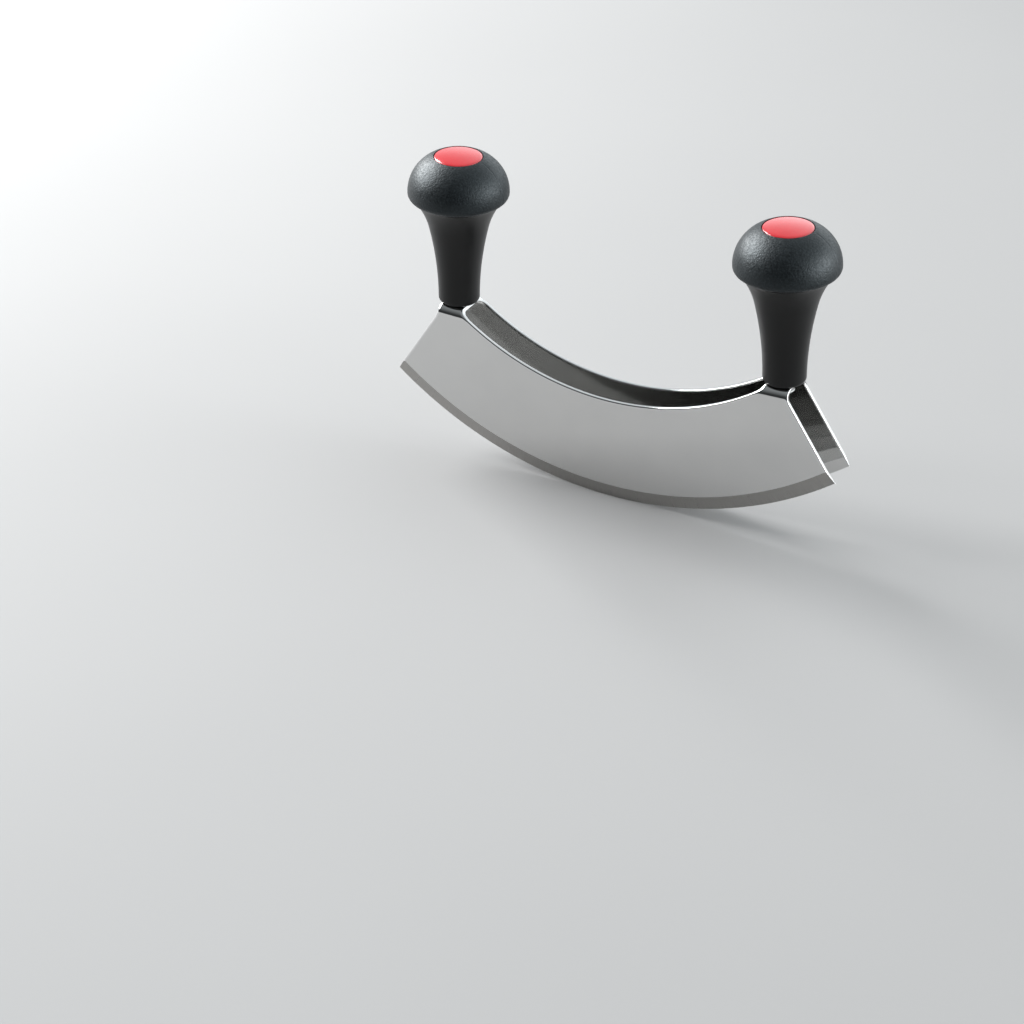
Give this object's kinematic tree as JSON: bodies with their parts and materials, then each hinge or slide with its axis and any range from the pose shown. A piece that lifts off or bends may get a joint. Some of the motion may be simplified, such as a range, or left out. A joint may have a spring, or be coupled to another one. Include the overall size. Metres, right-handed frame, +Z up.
{
  "type": "mezzaluna",
  "caption": "Double-bladed mezzaluna: curved steel blades folded from one sheet, with a tapered stem and mushroom knob at each end.",
  "frame": {"origin": "on the surface the tool stands on, at the lowest points of the two cutting edges, midway between the blades", "axes": "+X along the blades towards the right handle, +Y from the front blade to the back blade, +Z up towards the handles"},
  "size_m": [0.226, 0.0468, 0.153],
  "materials": {
    "blade_steel": "mirror-polished stainless sheet with a satin ground bevel",
    "stem_plastic": "fine satin moulded black",
    "knob_soft_touch": "grained matt charcoal",
    "cap_plastic": "glossy red",
    "insert_brass": "turned brass",
    "fastener_steel": "bright stainless"
  },
  "bodies": {
    "root": {"blade_body": "blade_steel", "left_handle_stem": "stem_plastic", "left_knob_shell": "knob_soft_touch", "left_red_cap": "cap_plastic", "left_threaded_insert": "insert_brass", "left_handle_screw": "fastener_steel", "left_lock_washer": "fastener_steel", "left_flat_washer": "fastener_steel", "right_handle_stem": "stem_plastic", "right_knob_shell": "knob_soft_touch", "right_red_cap": "cap_plastic", "right_threaded_insert": "insert_brass", "right_handle_screw": "fastener_steel", "right_lock_washer": "fastener_steel", "right_flat_washer": "fastener_steel"}
  },
  "joints": []
}
